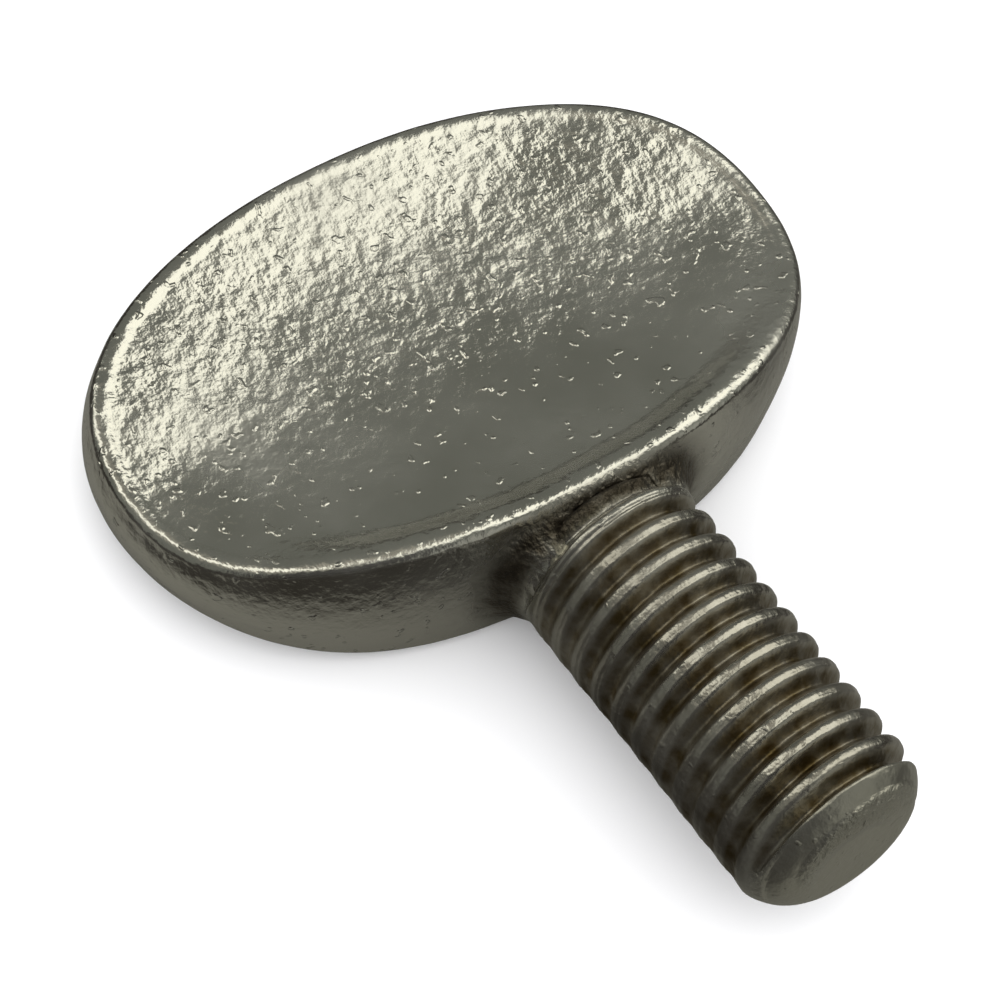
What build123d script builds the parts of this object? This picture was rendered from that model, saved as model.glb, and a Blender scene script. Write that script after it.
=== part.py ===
from build123d import *
import os
from math import asin, atan2, cos, degrees, radians, sin, sqrt, tan

# Thumb screw: one casting with an oval grip, dished on both faces, and a threaded shank.
# Millimetres. It is modelled with the shank along +X, the grip's long way along Y and its faces up
# and down. It is then tilted to lie as it comes to rest, far rim and neck on the surface.

# Thread, M5 coarse, and the rounded point
thread_major_d = 4.95
thread_pitch = 0.8
thread_depth = 0.49
thread_flank_angle = 60.0
crest_width = 0.12
shank_length = 10.0
point_length = 1.5
point_flat_d = 2.5
point_clearance = 0.06

# Grip outline, an oval of four arcs
grip_width = 19.0
grip_height = 12.4
grip_end_radius = 5.35

# Grip faces, as half thicknesses from the mid plane
waist_half = 0.75
waist_offset = 0.4
far_rim_half = 1.25
neck_rim_half = 2.15
end_rim_half = 0.95
rim_bevel = 0.24

# Neck, between the grip's wall and the thread
collar_d = 4.4
neck_fillet = 1.0
collar_straight = 0.1
runout_length = 0.4
core_start = 0.3
thread_start = 0.75

# Placing of construction solids
margin = 1.0
foot_sink = 0.06
seat_steps = 6
mesh_tolerance = 0.02

thread_major_r = thread_major_d / 2
thread_root_r = thread_major_r - thread_depth
thread_foot_r = thread_root_r - foot_sink
collar_r = collar_d / 2
neck_x = grip_height / 2
tip_x = neck_x + shank_length
blank_half = collar_r + neck_fillet + margin


def oval(height, width, end_radius):
    """Oval face: two end arcs on the long axis, joined by two tangent side arcs."""
    half_h = height / 2
    half_w = width / 2
    end_centre = half_w - end_radius
    side_radius = (end_centre**2 + half_h**2 - end_radius**2) / (2 * (half_h - end_radius))
    side_centre = side_radius - half_h
    turn = atan2(end_centre, side_centre)
    join_x = side_radius * cos(turn) - side_centre
    join_y = side_radius * sin(turn)
    arcs = [
        ThreePointArc((join_x, -join_y), (half_h, 0), (join_x, join_y)),
        ThreePointArc((join_x, join_y), (0, half_w), (-join_x, join_y)),
        ThreePointArc((-join_x, join_y), (-half_h, 0), (-join_x, -join_y)),
        ThreePointArc((-join_x, -join_y), (0, -half_w), (join_x, -join_y)),
    ]
    return make_face(arcs)


def arc_radius(run, rise):
    """Radius of an arc that leaves level and climbs by rise over run."""
    return (run**2 + rise**2) / (2 * rise)


def dish_cutter():
    """Solid above the upper face: a section of two tangent arcs, swung about a far axis."""
    waist_x = -waist_offset
    far_radius = arc_radius(neck_x - waist_offset, far_rim_half - waist_half)
    near_radius = arc_radius(neck_x + waist_offset, neck_rim_half - waist_half)
    far_x = -neck_x - margin
    near_x = neck_x + neck_fillet + margin
    far_z = waist_half + far_radius - sqrt(far_radius**2 - (far_x - waist_x) ** 2)
    near_z = waist_half + near_radius - sqrt(near_radius**2 - (near_x - waist_x) ** 2)
    far_turn = asin((waist_x - far_x) / far_radius) / 2
    near_turn = asin((near_x - waist_x) / near_radius) / 2
    far_mid = (waist_x - far_radius * sin(far_turn), waist_half + far_radius * (1 - cos(far_turn)))
    near_mid = (waist_x + near_radius * sin(near_turn), waist_half + near_radius * (1 - cos(near_turn)))
    top_z = max(near_z, blank_half) + margin
    outline = [
        ThreePointArc((far_x, far_z), far_mid, (waist_x, waist_half)),
        ThreePointArc((waist_x, waist_half), near_mid, (near_x, near_z)),
        Line((near_x, near_z), (near_x, top_z)),
        Line((near_x, top_z), (far_x, top_z)),
        Line((far_x, top_z), (far_x, far_z)),
    ]
    section = Plane.XZ * make_face(outline)
    cross_radius = arc_radius(grip_width / 2, end_rim_half - waist_half)
    axis = Axis((0, 0, waist_half + cross_radius), (1, 0, 0))
    swing = degrees(asin((grip_width / 2 + margin) / cross_radius))
    return revolve(section, axis, 2 * swing).rotate(axis, -swing)


def collar():
    """Plain shank at the neck, which thins to the thread's root in a short cone."""
    collar_end = neck_x + neck_fillet + collar_straight
    cone_end = collar_end + runout_length
    outline = [
        Line((0, 0), (cone_end, 0)),
        Line((cone_end, 0), (cone_end, thread_foot_r)),
        Line((cone_end, thread_foot_r), (collar_end, collar_r)),
        Line((collar_end, collar_r), (0, collar_r)),
        Line((0, collar_r), (0, 0)),
    ]
    return revolve(Plane.XZ * make_face(outline), Axis.X)


def rim_edges(solid, side):
    """Edges where the dished face on the given side meets the wall or the neck."""
    faces = [f for f in solid.faces() if f.normal_at(f.center()).Z * side > 0.8]
    dished = [f for f in faces if abs(f.center().X) < neck_x and f.center().Z * side > 0]
    shared = [e for f in dished for e in f.edges() if e.geom_type != GeomType.CIRCLE]
    return ShapeList(shared)


def grip():
    """Oval blank with the collar blended in, dished on both faces and bevelled at its rims."""
    blank = extrude(oval(grip_height, grip_width, grip_end_radius), blank_half, both=True) + collar()
    roots = [e for e in blank.edges() if e.geom_type == GeomType.BSPLINE]
    upper_dish = dish_cutter()
    dished = fillet(roots, neck_fillet) - upper_dish - upper_dish.mirror(Plane.XY)
    for side in (1, -1):
        dished = chamfer(rim_edges(dished, side), rim_bevel)
    return dished


def shank_envelope():
    """Outer form of the threaded length, clear of its crests up to the rounded point."""
    flat_r = point_flat_d / 2
    outer_r = thread_major_r + point_clearance
    round_start = tip_x - point_length
    outline = [
        Line((0, 0), (0, outer_r)),
        Line((0, outer_r), (round_start, outer_r)),
        EllipticalCenterArc((round_start, flat_r), point_length, outer_r - flat_r, start_angle=0, arc_size=90),
        Line((tip_x, flat_r), (tip_x, 0)),
        Line((tip_x, 0), (0, 0)),
    ]
    return revolve(Plane.XZ * make_face(outline), Axis.X)


def shank():
    """Root cylinder with a right-hand ridge of 60 degree flanks wound on it, cut to its point."""
    crest = crest_width / 2
    foot = crest + (thread_major_r - thread_foot_r) * tan(radians(thread_flank_angle / 2))
    start_x = neck_x + thread_start
    length = tip_x + thread_pitch - start_x
    path = Helix(thread_pitch, length, thread_root_r, center=(start_x, 0, 0), direction=(1, 0, 0))
    start = path @ 0
    outward = Vector(0, start.Y, start.Z).normalized()
    axial_plane = Plane(origin=(start.X, 0, 0), x_dir=(1, 0, 0), z_dir=Vector(1, 0, 0).cross(outward))
    outline = [
        Line((-foot, thread_foot_r), (-crest, thread_major_r)),
        Line((-crest, thread_major_r), (crest, thread_major_r)),
        Line((crest, thread_major_r), (foot, thread_foot_r)),
        Line((foot, thread_foot_r), (-foot, thread_foot_r)),
    ]
    ridge = sweep(axial_plane * make_face(outline), path=path, is_frenet=True)
    core_x = neck_x + core_start
    core_length = tip_x + thread_pitch + margin - core_x
    core = Pos(core_x + core_length / 2, 0, 0) * Rot(0, 90, 0) * Cylinder(thread_root_r, core_length)
    return (core + ridge) & shank_envelope()


def rest_tilt(solid):
    """Angle in degrees about Y at which the far rim and the neck touch the surface together."""
    balance_x = solid.center().X
    points = [(v.X, v.Z) for v in solid.tessellate(mesh_tolerance)[0]]
    far = [p for p in points if p[0] < balance_x]
    near = [p for p in points if p[0] >= balance_x]
    tilt = 0.0
    for _ in range(seat_steps):
        lowest = [min(side, key=lambda p: p[1] * cos(tilt) - p[0] * sin(tilt)) for side in (far, near)]
        (far_x, far_z), (near_x, near_z) = lowest
        tilt = atan2(near_z - far_z, near_x - far_x)
    return degrees(tilt)


whole = grip() + shank()
lying = whole.rotate(Axis.Y, rest_tilt(whole))
box = lying.bounding_box()
thumb_screw = Pos(-box.center().X, -box.center().Y, -box.min.Z) * lying

os.makedirs("parts", exist_ok=True)
export_step(thumb_screw, "parts/thumb_screw.step")
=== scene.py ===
from math import cos, pi, radians, sin

import bpy
import numpy as np
from mathutils import Matrix, Vector, noise


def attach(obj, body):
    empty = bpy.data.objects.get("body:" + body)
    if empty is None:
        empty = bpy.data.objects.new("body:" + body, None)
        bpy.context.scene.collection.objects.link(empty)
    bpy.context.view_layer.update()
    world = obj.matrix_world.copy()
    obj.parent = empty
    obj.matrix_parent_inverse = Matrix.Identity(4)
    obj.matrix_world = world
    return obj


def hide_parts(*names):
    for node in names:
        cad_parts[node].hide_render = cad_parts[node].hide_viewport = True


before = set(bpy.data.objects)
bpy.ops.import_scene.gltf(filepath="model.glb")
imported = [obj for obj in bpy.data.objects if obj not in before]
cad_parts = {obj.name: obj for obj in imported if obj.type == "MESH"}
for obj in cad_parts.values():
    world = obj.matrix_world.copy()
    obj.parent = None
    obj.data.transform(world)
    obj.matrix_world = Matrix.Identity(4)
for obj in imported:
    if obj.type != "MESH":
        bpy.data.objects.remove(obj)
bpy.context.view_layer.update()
bpy.context.scene.view_settings.view_transform = "Standard"

MM = 0.001

# Grip, in millimetres about its centre: +X to the point, +Y along the long way, +Z up
HALF_LONG = 9.48
HALF_SHORT = 6.16
OUTLINE_POWER = 2.23
WAIST_HALF = 0.75
WAIST_X = -0.4
FAR_RISE = 0.5
NEAR_RISE = 1.4
CROSS_RISE = 0.2
RIM_ANGLES = (0.0, 30.0, 60.0, 90.0, 135.0, 180.0)
RIM_HALVES = (2.17, 2.02, 1.25, 0.935, 1.15, 1.25)
RIM_ROUND = 0.28
RIM_LAND = 0.19
LIP_WIDTH = 0.22
LIP_RISE = 0.05
WALL_CROWN = 0.14
LIP_FROM = 0.86
FAR_LIP_FROM = 0.50
LIP_CHANGE = (0.5, -1.5)
GRIP_TURNS = 480
FACE_RINGS = 64
UNDER_RINGS = 10
WALL_ROWS = 16
LIP_ROWS = 4
ROUND_ROWS = 9
FINE_TURNS = 20001
FACE_FADE = (0.945, 0.985)
WALL_FADE = (0.95, 1.0)

# Neck
COLLAR_R = 2.2
FLARE = 1.05
FLARE_EDGE = (0.93, 1.0)
FLARE_TOP = (1.2, 2.1)
FLARE_TOP_FADE = 0.9
PIT_X = (6.0, 6.3)
PIT_RHO = (2.2, 2.6)

# Thread and point
CREST_R = 2.475
THREAD_DEPTH = 0.38
LAST_DEPTH = 0.12
LAST_FROM = (13.9, 14.7)
CREST_LAND = 0.17
CREST_CROWN = 0.008
CREST_GROOVE = 0.014
NECK_GROOVE = 0.05
NECK_GROOVE_X = (7.9, 7.0)
GROOVE_AT = 0.14
GROOVE_WIDTH = 0.10
WORN_ANGLE = radians(205)
WORN_SPREAD = radians(56)
WORN_SHARE = 0.95
PITCH = 0.8
CREST_PHASE = 7.592
CREST_ANGLE = radians(27.8)
NECK_TAPER = 0.03
THREAD_FROM = 6.05
THREAD_FULL = 6.75
ROOT_FILL_TO = 8.2
ROOT_FILL_GAP = 0.04
ROOT_FILL_SLOPE = 0.25
ROOT_FILL_LAG = 0.35
TIP_X = 16.2
POINT_LONG = 1.5
POINT_FLAT = 1.22
POINT_WIDE = 2.55
SHANK_FROM = 5.9
SHANK_FROM_R = 1.8
SHANK_FROM_SLOPE = 1.3
SHANK_TURNS = 130
SHANK_STEP = 0.036
POINT_ROWS = 40
FLAT_RINGS = (0.85, 0.6, 0.3)
NECK_ROUGHER = 1.5
NECK_ROUGH_X = (7.4, 6.4)
LEAST_R = 0.5

# Relief of the casting, as grain size, octaves, seed and height
FACE_BROAD = (1.9, 2, 3.1, 0.016)
FACE_SMALL = (0.55, 2, 9.7, 0.010)
WALL_RELIEF = (1.1, 2, 5.5, 0.012)
NECK_PITS = (0.35, 3, 1.3, 0.05)
SHANK_SMALL = (0.6, 2, 2.2, 0.007)
SHANK_BROAD = (1.7, 1, 8.2, 0.012)
NOISE_H = 1.0
LACUNARITY = 2.0

# Where the metal is marked, in millimetres: along the shank, and across a thread from crest 0 to root 1
THREAD_MARK_X = (6.6, 7.2)
THREAD_MARK_END = (15.3, 15.8)
# The thread's brownish tone: half on the crests, full in the roots, where its darkening is painted shade
CREST_MARK = 0.5
ROOT_MARK = (0.28, 0.62)
# Painted shade in the neck crease where the grip meets the shank; it also marks the grit there
NECK_MARK_X = (5.7, 6.2)
NECK_MARK_END = (6.35, 6.75)
NECK_MARK_RHO = (3.0, 3.9)
# Painted shade: a dark line along the last groove where the thread meets the point
EDGE_MARK_X = (14.9, 15.1)
EDGE_MARK_ROOT = (0.45, 0.75)
EDGE_INSET = 0.02
EDGE_WIDTH = 0.05
# The point, painted darker to dim its reflections, and made duller
DOME_MARK_X = (14.85, 15.1)
DOME_WIDTH = 0.06
FLAT_MARK_X = (16.0, 16.15)

# Resting pose and place on the surface
TILT = radians(-5.4535025)
SHIFT = np.array([-4.99126567, 0.0, 1.7710363])


def smooth(a, b, x):
    """From 0 at a to 1 at b, level at both ends."""
    t = np.clip((x - a) / (b - a), 0.0, 1.0)
    return t * t * (3 - 2 * t)


def relief(points, size, octaves, seed, height):
    """Height of the relief at each point."""
    out = np.empty(len(points))
    for i, p in enumerate(points / size + seed):
        out[i] = noise.fractal(Vector(p), NOISE_H, LACUNARITY, octaves, noise_basis="PERLIN_ORIGINAL")
    return out * height


def rim_half(theta):
    """Half thickness at the rim, as a cosine series through the rim values."""
    k = np.radians(RIM_ANGLES)
    basis = np.cos(np.outer(k, np.arange(len(k))))
    coef = np.linalg.solve(basis, np.array(RIM_HALVES))
    return np.cos(np.outer(theta, np.arange(len(k)))) @ coef


def oval(theta, inset):
    """Points on the grip's outline, moved inward by inset."""
    c, s = np.cos(theta), np.sin(theta)
    p = 2 / OUTLINE_POWER
    x = (HALF_SHORT - inset) * np.sign(c) * np.abs(c) ** p
    y = (HALF_LONG - inset) * np.sign(s) * np.abs(s) ** p
    return x, y


def even_angles(count):
    """Angles that space the outline evenly, so that all the cells are alike."""
    fine = np.linspace(0, 2 * pi, FINE_TURNS)
    x, y = oval(fine, 0)
    run = np.concatenate([[0], np.cumsum(np.hypot(np.diff(x), np.diff(y)))])
    return np.interp(np.linspace(0, run[-1], count, endpoint=False), run, fine)


def dish(x, y):
    """Half thickness of the dished face: level at the waist, rising to both long sides."""
    run = x - WAIST_X
    far = FAR_RISE * (run / (HALF_SHORT + WAIST_X)) ** 2
    near = NEAR_RISE * (run / (HALF_SHORT - WAIST_X)) ** 2
    return WAIST_HALF + np.where(run < 0, far, near) + CROSS_RISE * (y / HALF_LONG) ** 2


def grid_mesh(name, rows, cap_start, cap_end):
    """Closed mesh from rings of equal length, with a fan at each end."""
    n = rows[0].shape[0]
    m = len(rows)
    verts = np.vstack(rows + [cap_start[None], cap_end[None]])
    i = np.arange(n)
    j = (i + 1) % n
    quads = []
    for r in range(m - 1):
        quads.append(np.stack([r * n + i, r * n + j, (r + 1) * n + j, (r + 1) * n + i], 1))
    quads = np.vstack(quads)
    a, b = m * n, m * n + 1
    first = np.stack([np.full(n, a), j, i], 1)
    last = (m - 1) * n + np.stack([i, j, np.full(n, b) - (m - 1) * n], 1)
    mesh = bpy.data.meshes.new(name)
    mesh.from_pydata(verts.tolist(), [], quads.tolist() + first.tolist() + last.tolist())
    return mesh


def face_rows(theta, inner, rim, side, count):
    """Rings of a dished face, from its middle out to the rim's lip."""
    out = []
    x, y = oval(theta, inner)
    lift = rim - dish(x, y)
    start = LIP_FROM + (FAR_LIP_FROM - LIP_FROM) * smooth(*LIP_CHANGE, x)
    for frac in np.linspace(0, 1, count + 1)[1:]:
        z = dish(x * frac, y * frac) + lift * smooth(start, 1.0, frac)
        out.append(np.stack([x * frac, y * frac, side * z], 1))
    return out


def lip_rows(theta, inner, rim):
    """Rings over the upper rim: the lip, then the round down to the wall."""
    out = []
    for g in np.linspace(0, 1, LIP_ROWS + 1)[1:]:
        x, y = oval(theta, inner - LIP_WIDTH * g)
        out.append(np.stack([x, y, rim + LIP_RISE * sin(g * pi / 2)], 1))
    for g in np.linspace(0, pi / 2, ROUND_ROWS):
        x, y = oval(theta, WALL_CROWN + RIM_ROUND * (1 - sin(g)))
        out.append(np.stack([x, y, rim + LIP_RISE - RIM_ROUND * (1 - cos(g))], 1))
    return out


def swell_into_neck(ring):
    """Draw the wall and the rim out toward the shank, in place."""
    edge = np.hypot(ring[:, 0] / HALF_SHORT, ring[:, 1] / HALF_LONG)
    near = smooth(*FLARE_EDGE, edge) * (ring[:, 0] > 0)
    rho = np.hypot(ring[:, 1], ring[:, 2])
    push = FLARE * np.clip((COLLAR_R + FLARE - rho) / FLARE, 0.0, 1.0) ** 2
    push *= 1 - FLARE_TOP_FADE * smooth(*FLARE_TOP, np.abs(ring[:, 2]))
    ring[:, 0] += push * near


def roughen_grip(verts):
    """Add the relief to the faces and the wall, and the pits to the neck, in place."""
    sag = relief(verts, *FACE_BROAD) + relief(verts, *FACE_SMALL)
    across = (np.abs(verts[:, 0]) / HALF_SHORT) ** OUTLINE_POWER
    along = (np.abs(verts[:, 1]) / HALF_LONG) ** OUTLINE_POWER
    edge = (across + along) ** (1 / OUTLINE_POWER)
    verts[:, 2] += np.sign(verts[:, 2]) * sag * (1 - smooth(*FACE_FADE, edge))
    outward = verts[:, :2] / np.hypot(verts[:, 0], verts[:, 1])[:, None]
    verts[:, :2] += outward * (relief(verts, *WALL_RELIEF) * smooth(*WALL_FADE, edge))[:, None]
    rho = np.hypot(verts[:, 1], verts[:, 2])
    share = smooth(*PIT_X, verts[:, 0]) * smooth(*PIT_RHO, rho)
    verts[:, 0] -= share * np.abs(relief(verts, *NECK_PITS))


def make_grip():
    theta = even_angles(GRIP_TURNS)
    inner = RIM_ROUND + RIM_LAND + LIP_WIDTH
    rim = rim_half(theta)
    lip = lip_rows(theta, inner, rim)
    rows = face_rows(theta, inner, rim, 1, FACE_RINGS) + lip
    for u in np.linspace(1, -1, WALL_ROWS + 2)[1:-1]:
        x, y = oval(theta, WALL_CROWN * u * u)
        rows.append(np.stack([x, y, u * (rim - RIM_ROUND + LIP_RISE)], 1))
    rows += [ring * [1, 1, -1] for ring in lip[::-1]]
    rows += face_rows(theta, inner, rim, -1, UNDER_RINGS)[::-1]
    for ring in rows:
        swell_into_neck(ring)
    verts = np.vstack(rows)
    roughen_grip(verts)
    middle = np.array([0, 0, float(dish(np.array(0.0), 0.0))])
    return grid_mesh("grip", np.split(verts, len(rows)), middle, middle * [1, 1, -1])


def thread_offset(x, psi):
    """How far a place lies from the nearest crest: 0 on it, -1 or 1 in the roots beside it."""
    phase = (x - CREST_PHASE - PITCH * (psi - CREST_ANGLE) / (2 * pi)) / PITCH
    return (phase - np.round(phase)) * 2


def thread_radius(x, psi):
    """Radius of the threaded part at a place along it, for every angle."""
    off = thread_offset(x, psi)
    u = np.abs(off)
    crest = CREST_R - NECK_TAPER * (1 - (x - THREAD_FROM) / (TIP_X - THREAD_FROM))
    v = np.clip((u - CREST_LAND) / (1 - CREST_LAND), 0.0, 1.0)
    worn = WORN_SHARE * np.exp(-(((psi - WORN_ANGLE) / WORN_SPREAD) ** 2))
    depth = THREAD_DEPTH + LAST_DEPTH * smooth(*LAST_FROM, x)
    form = crest - depth * (1 - worn) * (1 - np.cos(pi * v)) / 2
    form = form - CREST_CROWN * np.minimum(u / CREST_LAND, 1.0) ** 2
    groove = CREST_GROOVE + NECK_GROOVE * smooth(*NECK_GROOVE_X, x)
    return form - groove * np.exp(-(((off - GROOVE_AT) / GROOVE_WIDTH) ** 2))


def point_radius(x):
    """Radius of the rounded point, from its widest to its flat."""
    g = np.clip((x - TIP_X + POINT_LONG) / POINT_LONG, 0.0, 1.0)
    return POINT_FLAT + (POINT_WIDE - POINT_FLAT) * np.sqrt(1 - g * g)


def shank_radius(x, psi):
    """Radius of the shank: plain by the neck, then threaded, then drawn in to the point."""
    fade = smooth(THREAD_FROM, THREAD_FULL, x)
    r = COLLAR_R * (1 - fade) + thread_radius(x, psi) * fade
    if x < ROOT_FILL_TO:
        past = max(0.0, x - THREAD_FROM - ROOT_FILL_LAG)
        r = np.maximum(r, COLLAR_R - ROOT_FILL_GAP - ROOT_FILL_SLOPE * past)
    r = np.minimum(r, SHANK_FROM_R + SHANK_FROM_SLOPE * (x - SHANK_FROM))
    if x > TIP_X - POINT_LONG:
        r = np.minimum(r, point_radius(x))
    return r


def make_shank():
    xs = np.arange(SHANK_FROM, TIP_X - POINT_LONG, SHANK_STEP)
    turn = np.linspace(0, pi / 2, POINT_ROWS)
    xs = np.concatenate([xs, TIP_X - POINT_LONG * (1 - np.sin(turn))])
    psi = np.linspace(0, 2 * pi, SHANK_TURNS, endpoint=False)
    rows = []
    for x in xs:
        r = shank_radius(x, psi)
        rows.append(np.stack([np.full_like(psi, x), r * np.cos(psi), r * np.sin(psi)], 1))
    edge = rows[-1]
    rows += [edge * [1, share, share] for share in FLAT_RINGS]
    verts = np.vstack(rows)
    rough = relief(verts, *SHANK_SMALL) + relief(verts, *SHANK_BROAD)
    rough *= 1 + NECK_ROUGHER * smooth(*NECK_ROUGH_X, verts[:, 0])
    rho = np.hypot(verts[:, 1], verts[:, 2])
    verts[:, 1:] *= (1 + rough / np.maximum(rho, LEAST_R))[:, None]
    ends = (np.array([SHANK_FROM, 0, 0.0]), np.array([TIP_X, 0, 0.0]))
    return grid_mesh("shank", np.split(verts, len(rows)), *ends)


def points_of(mesh):
    co = np.empty(len(mesh.vertices) * 3)
    mesh.vertices.foreach_get("co", co)
    return co.reshape(-1, 3)


def place(mesh):
    """Turn a mesh from the grip's own frame to where the screw lies, in metres."""
    co = points_of(mesh)
    x = co[:, 0] * cos(TILT) + co[:, 2] * sin(TILT)
    z = -co[:, 0] * sin(TILT) + co[:, 2] * cos(TILT)
    co = (np.stack([x, co[:, 1], z], 1) + SHIFT) * MM
    mesh.vertices.foreach_set("co", co.ravel())
    mesh.update()


def stain_and_shade(mesh):
    """Mark, from 0 to 1: the thread's brownish tone, deepened as painted shade in the roots and the neck
    crease; the pits in the neck and along the point's edge, which also carry painted shade; and the
    point, duller and painted darker to dim its reflections.
    """
    co = points_of(mesh)
    x = co[:, 0]
    rho = np.hypot(co[:, 1], co[:, 2])
    u = np.abs(thread_offset(x, np.arctan2(co[:, 2], co[:, 1])))
    on_thread = smooth(*THREAD_MARK_X, x) * (1 - smooth(*THREAD_MARK_END, x))
    # Brownish thread tone, deepened in the roots as painted shade
    root = on_thread * (CREST_MARK + (1 - CREST_MARK) * smooth(*ROOT_MARK, u))
    # Painted shade in the neck crease, with its grit
    neck = smooth(*NECK_MARK_X, x) * (1 - smooth(*NECK_MARK_END, x)) * (1 - smooth(*NECK_MARK_RHO, rho))
    cap = point_radius(x)
    # A painted dark line of shade along the last groove at the point's edge
    edge = np.exp(-(((rho - cap + EDGE_INSET) / EDGE_WIDTH) ** 2))
    edge *= smooth(*EDGE_MARK_ROOT, u) * smooth(*EDGE_MARK_X, x)
    # The point, painted darker to dim its reflections, and made duller
    dome = np.exp(-(((rho - cap) / DOME_WIDTH) ** 2)) * smooth(*DOME_MARK_X, x)
    marks = {
        "stain_and_shade": np.maximum(root, neck),
        "point_dull_and_shaded": np.maximum(dome, smooth(*FLAT_MARK_X, x)),
        "pits_and_shade": np.maximum(neck, edge),
    }
    for name, value in marks.items():
        mark = mesh.attributes.new(name, "FLOAT", "POINT")
        mark.data.foreach_set("value", np.clip(value, 0, 1).astype(np.float32))


def add(mesh):
    obj = bpy.data.objects.new(mesh.name, mesh)
    bpy.context.scene.collection.objects.link(obj)
    return obj


grip = add(make_grip())
shank = add(make_shank())
union = grip.modifiers.new("join", "BOOLEAN")
union.operation = "UNION"
union.solver = "MANIFOLD"
union.object = shank
graph = bpy.context.evaluated_depsgraph_get()
joined = bpy.data.meshes.new_from_object(grip.evaluated_get(graph))
joined.name = "screw"
bpy.data.objects.remove(grip)
bpy.data.objects.remove(shank)
stain_and_shade(joined)
place(joined)
screw = add(joined)
screw.name = "screw"
joined.shade_smooth()
print("screw triangles", sum(len(p.vertices) - 2 for p in joined.polygons))


def set_inputs(tree, node, inputs):
    """Give a node's inputs plain values or the outputs of other nodes."""
    for name, value in inputs.items():
        if isinstance(value, bpy.types.NodeSocket):
            tree.links.new(value, node.inputs[name])
        else:
            node.inputs[name].default_value = value


def add_node(tree, kind, inputs, **settings):
    """New node. Its settings come first, as they decide which inputs it has."""
    node = tree.nodes.new(kind)
    for name, value in settings.items():
        setattr(node, name, value)
    set_inputs(tree, node, inputs)
    return node


def maths(tree, operation, *values, clamp=False):
    inputs = dict(enumerate(values))
    return add_node(tree, "ShaderNodeMath", inputs, operation=operation, use_clamp=clamp).outputs["Value"]


def remap(tree, value, span, to, kind):
    """Bring a value from one range to another."""
    inputs = {"Value": value, "From Min": span[0], "From Max": span[1]}
    inputs |= {"To Min": to[0], "To Max": to[1]}
    return add_node(tree, "ShaderNodeMapRange", inputs, interpolation_type=kind).outputs["Result"]


def mixed(tree, share, under, over):
    """Colour that goes from under to over as the share goes from 0 to 1."""
    inputs = {"Factor": share, "A": under, "B": over}
    return add_node(tree, "ShaderNodeMix", inputs, data_type="RGBA").outputs["Result"]


# Metal: its colours, with painted shade in the roots, the neck crease, the point's edge and on the point,
# and how much rougher the stains and the point are
PLATING = (0.72, 0.71, 0.64, 1)
# Brownish tone of the thread, darker in the roots and the neck crease as painted shade
ROOT_STAIN_AND_SHADE = (0.125, 0.093, 0.040, 1)
# Painted shade in the neck crease and along the last groove at the point
PIT_SHADE = (0.07, 0.06, 0.045, 1)
# Painted shade on the point, to dim its reflections
POINT_SHADE = (0.42, 0.41, 0.345, 1)
ROUGHNESS = (0.14, 0.30)
STAIN_AND_SHADE_DULLS = 0.16
POINT_DULLS = 0.16
CLOUD_SHARE = (0.6, 1.0)

# Its noises, as scale and detail, the parts of them that are used, and bump heights in metres
CLOUDS = (1800, 4)
CLOUD_SPAN = (0.25, 0.65)
SHEEN = (260, 3)
SHEEN_SPAN = (0.3, 0.7)
SPECKS = (3300, 1)
SPECK_SPAN = (0.645, 0.76)
SPECK_HEIGHT = 0.000026
GRAIN = (2500, 3)
GRAIN_HEIGHT = 0.000047
FINE_GRAIN = (5600, 2)
FINE_GRAIN_HEIGHT = 0.000012
RUBBLE = (5200, 4)
RUBBLE_HEIGHT = 0.00016


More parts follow.
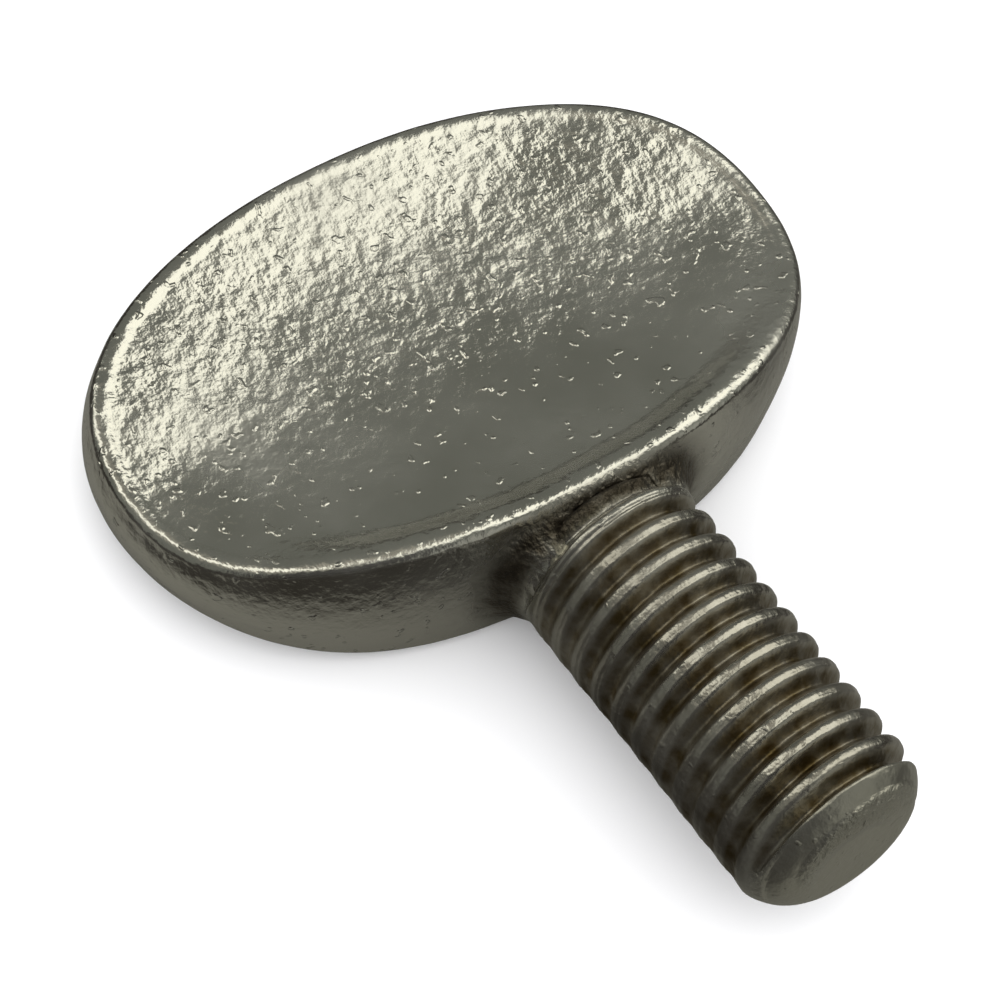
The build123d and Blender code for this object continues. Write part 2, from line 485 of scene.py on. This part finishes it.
def nickel():
    """Plated metal with a fine grain, a brownish thread tone with painted shade in the roots, grit in the
    neck with painted shade, and a point painted darker.
    """
    mat = bpy.data.materials.new("nickel")
    mat.use_nodes = True
    tree = mat.node_tree
    where = tree.nodes.new("ShaderNodeTexCoord").outputs["Object"]

    def tex(scale, detail):
        inputs = {"Vector": where, "Scale": scale, "Detail": detail}
        return add_node(tree, "ShaderNodeTexNoise", inputs).outputs["Fac"]

    def marked(name):
        return add_node(tree, "ShaderNodeAttribute", {}, attribute_name=name).outputs["Fac"]

    stained_and_shaded, pits_and_shade, point_dull_and_shaded = marked("stain_and_shade"), marked("pits_and_shade"), marked("point_dull_and_shaded")
    patch = remap(tree, tex(*CLOUDS), CLOUD_SPAN, CLOUD_SHARE, "LINEAR")
    # Brownish thread tone, with painted shade in the roots and the neck crease
    colour = mixed(tree, maths(tree, "MULTIPLY", stained_and_shaded, patch), PLATING, ROOT_STAIN_AND_SHADE)
    # Painted shade in the neck crease and along the last groove at the point
    colour = mixed(tree, maths(tree, "MULTIPLY", pits_and_shade, patch), colour, PIT_SHADE)
    # Painted shade on the point, to dim its reflections
    colour = mixed(tree, point_dull_and_shaded, colour, POINT_SHADE)

    rough = remap(tree, tex(*SHEEN), SHEEN_SPAN, ROUGHNESS, "LINEAR")
    rough = maths(tree, "MULTIPLY_ADD", stained_and_shaded, STAIN_AND_SHADE_DULLS, rough)
    rough = maths(tree, "MULTIPLY_ADD", point_dull_and_shaded, POINT_DULLS, rough)

    # Away from the thread's tone and its painted shade, for the specks
    clear_of_stain_and_shade = maths(tree, "SUBTRACT", 1.0, stained_and_shaded, clamp=True)
    specks = remap(tree, tex(*SPECKS), SPECK_SPAN, (0.0, 1.0), "SMOOTHSTEP")
    heights = (
        (tex(*GRAIN), GRAIN_HEIGHT),
        (tex(*FINE_GRAIN), FINE_GRAIN_HEIGHT),
        (maths(tree, "MULTIPLY", specks, clear_of_stain_and_shade), SPECK_HEIGHT),
        (maths(tree, "MULTIPLY", tex(*RUBBLE), pits_and_shade), RUBBLE_HEIGHT),
    )
    normal = {}
    for height, distance in heights:
        bump = add_node(tree, "ShaderNodeBump", {"Height": height, "Distance": distance, **normal})
        normal = {"Normal": bump.outputs["Normal"]}

    look = {"Metallic": 1.0, "Base Color": colour, "Roughness": rough, **normal}
    set_inputs(tree, tree.nodes["Principled BSDF"], look)
    return mat


joined.materials.clear()
joined.materials.append(nickel())

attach(screw, "root")
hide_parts("thumb_screw")

# Camera, found from the photo's outlines
CAM_AZ = radians(-48.8658)
CAM_EL = radians(58.9764)
CAM_ROLL = radians(16.6776)
CAM_DIST = 0.0929878
CAM_TARGET = Vector((-0.00105079, -0.00121721, 0.002))
CAM_LENS = 140.4
CAM_SENSOR = 36
CAM_CLIP = 0.001
cam_data = bpy.data.cameras.new("camera")
cam_data.lens = CAM_LENS
cam_data.sensor_width = CAM_SENSOR
cam_data.clip_start = CAM_CLIP
camera = bpy.data.objects.new("camera", cam_data)
back = Vector((cos(CAM_EL) * cos(CAM_AZ), cos(CAM_EL) * sin(CAM_AZ), sin(CAM_EL)))
right = Vector((0, 0, 1)).cross(back).normalized()
up = back.cross(right)
turned_right = right * cos(CAM_ROLL) + up * sin(CAM_ROLL)
turned_up = back.cross(turned_right)
turned = Matrix((turned_right, turned_up, back)).transposed().to_4x4()
camera.matrix_world = Matrix.Translation(CAM_TARGET + back * CAM_DIST) @ turned
bpy.context.scene.collection.objects.link(camera)
bpy.context.scene.camera = camera

# Floor, white to the camera and keeping the soft shadow. The metal mirrors it in a painted dark tone that
# is lighter near the screw, a painted pool of light in two ovals: each has its centre and half sizes in
# millimetres, and then the shares of the half sizes at which the lighter tone begins to fall and at which
# it ends.
FLOOR_HALF = 0.6
FLOOR_DROP = 0.00002
FLOOR_SEEN = (0.96, 0.96, 0.96, 1)
FLOOR_FAR = (0.018, 0.016, 0.013, 1)
FLOOR_NEAR = (0.165, 0.162, 0.142, 1)
FLOOR_SPOTS = (
    ((-5.0, 0.0), (6.4, 9.6), (1.08, 1.62)),
    ((13.0, 4.0), (13.0, 6.5), (0.9, 1.3)),
)
floor_mesh = bpy.data.meshes.new("floor")
corners = [(-1, -1), (1, -1), (1, 1), (-1, 1)]
floor_mesh.from_pydata([(x * FLOOR_HALF, y * FLOOR_HALF, 0) for x, y in corners], [], [(0, 1, 2, 3)])
floor = add(floor_mesh)
floor.location.z = -FLOOR_DROP
floor_mat = bpy.data.materials.new("floor")
floor_mat.use_nodes = True
floor_tree = floor_mat.node_tree


def near_spot(centre, half, fade):
    """From 1 near an oval on the floor to 0 far from it."""
    inputs = {
        "Vector": floor_tree.nodes.new("ShaderNodeTexCoord").outputs["Object"],
        "Location": (centre[0] * MM, centre[1] * MM, 0),
        "Scale": (half[0] * MM, half[1] * MM, 1),
    }
    spot = add_node(floor_tree, "ShaderNodeMapping", inputs, vector_type="TEXTURE").outputs["Vector"]
    gap = add_node(floor_tree, "ShaderNodeVectorMath", {0: spot}, operation="LENGTH").outputs["Value"]
    return remap(floor_tree, gap, fade, (1.0, 0.0), "SMOOTHSTEP")


near = maths(floor_tree, "MAXIMUM", *(near_spot(*spot) for spot in FLOOR_SPOTS))
# Painted reflection: a dark floor with a painted pool of light near the screw, seen only by glossy rays
mirrored = mixed(floor_tree, near, FLOOR_FAR, FLOOR_NEAR)
glossy = floor_tree.nodes.new("ShaderNodeLightPath").outputs["Is Glossy Ray"]
floor_look = {
    "Base Color": mixed(floor_tree, glossy, FLOOR_SEEN, mirrored),
    "Roughness": 1.0,
    "Specular IOR Level": 0.0,
}
set_inputs(floor_tree, floor_tree.nodes["Principled BSDF"], floor_look)
floor_mesh.materials.append(floor_mat)

# Studio light: the floor gets even white light. The metal mirrors a dark room, on which each entry
# of ROOM is laid over the ones before it, where all its directions hold. Each direction comes with
# the cosines at which it begins and at which it is full.
EVEN_LIGHT = (1.60, 1.60, 1.62, 1)
DARK = (0.12, 0.124, 0.108, 1)
BAND = (0.014, 0.012, 0.009, 1)
SIDE = (0.30, 0.30, 0.27, 1)
GLOW = (0.26, 0.245, 0.205, 1)
PANEL = (1.34, 1.32, 1.19, 1)
FACE_PANEL = (
    ((0.6, 0.0, 0.8), 0.24, 0.30),
    ((1.0, 1.0, 0.0), -0.035, 0.06),
    ((-1.0, 0.0, 0.0), -0.45, -0.10),
)
SHANK_PANEL = (
    ((0.0, 1.0, 0.0), -0.56, -0.44),
    ((0.0, -1.0, 0.0), 0.16, 0.30),
    ((-1.0, 0.0, 0.0), 0.0, 0.14),
    ((0.0, 0.0, 1.0), 0.15, 0.30),
)
ROOM = (
    (SIDE, [((0.9, 0.35, 0.25), 0.75, 0.97)]),
    (BAND, [((0.62, -0.55, 0.45), 0.74, 0.90)]),
    (GLOW, [((-0.3, -0.3, 0.9), 0.80, 0.97)]),
    (PANEL, FACE_PANEL),
    (PANEL, SHANK_PANEL),
)
world = bpy.data.worlds.new("studio")
bpy.context.scene.world = world
world.use_nodes = True
world_tree = world.node_tree
ray = world_tree.nodes.new("ShaderNodeTexCoord").outputs["Generated"]


def facing(direction, low, high):
    """How far a reflected ray points along a direction, from 0 at cosine low to 1 at high."""
    inputs = {0: ray, 1: Vector(direction).normalized()}
    dot = add_node(world_tree, "ShaderNodeVectorMath", inputs, operation="DOT_PRODUCT").outputs["Value"]
    return remap(world_tree, dot, (low, high), (0.0, 1.0), "SMOOTHSTEP")


room = DARK
for colour, sides in ROOM:
    share = facing(*sides[0])
    for side in sides[1:]:
        share = maths(world_tree, "MULTIPLY", share, facing(*side))
    room = mixed(world_tree, share, room, colour)
glossy = world_tree.nodes.new("ShaderNodeLightPath").outputs["Is Glossy Ray"]
light = {"Color": mixed(world_tree, glossy, EVEN_LIGHT, room), "Strength": 1.0}
set_inputs(world_tree, world_tree.nodes["Background"], light)
